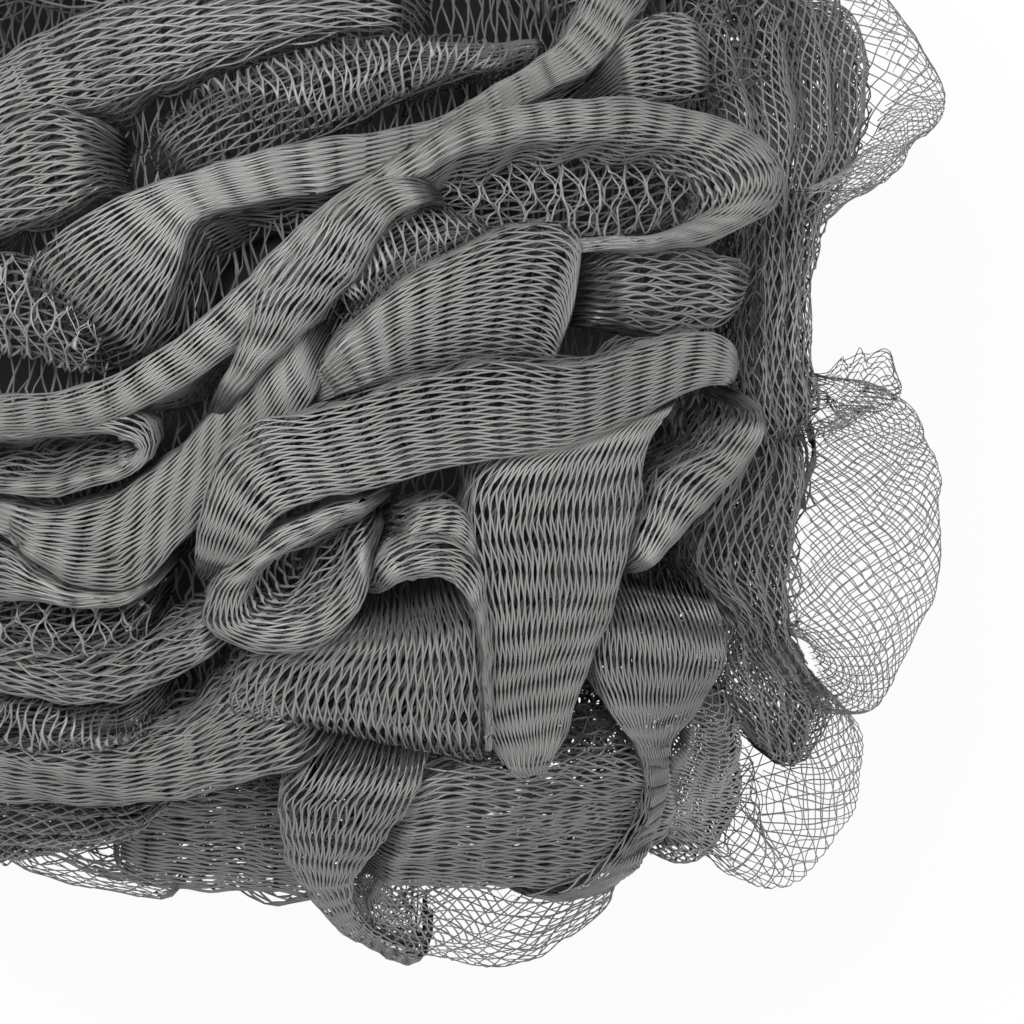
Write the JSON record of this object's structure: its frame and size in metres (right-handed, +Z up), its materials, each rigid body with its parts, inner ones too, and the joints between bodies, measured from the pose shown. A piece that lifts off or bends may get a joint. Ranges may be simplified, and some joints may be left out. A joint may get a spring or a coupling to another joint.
{
  "type": "mesh bath pouf",
  "caption": "Grey mesh bath pouf: gathered diamond net fluffed out into a ball of folds, tied at its middle by a knotted cord.",
  "frame": {"origin": "middle of the flat spot that the ball rests on", "axes": "+Z up from the flat spot through the middle of the ball, +X to the right and +Y to the top of the view from above that shows the long sweeping folds"},
  "size_m": [0.1352, 0.1352, 0.13],
  "materials": {
    "net": "satin",
    "tie": "matte"
  },
  "bodies": {
    "root": {"gathered_net": "net", "centre_tie": "tie"}
  },
  "joints": []
}
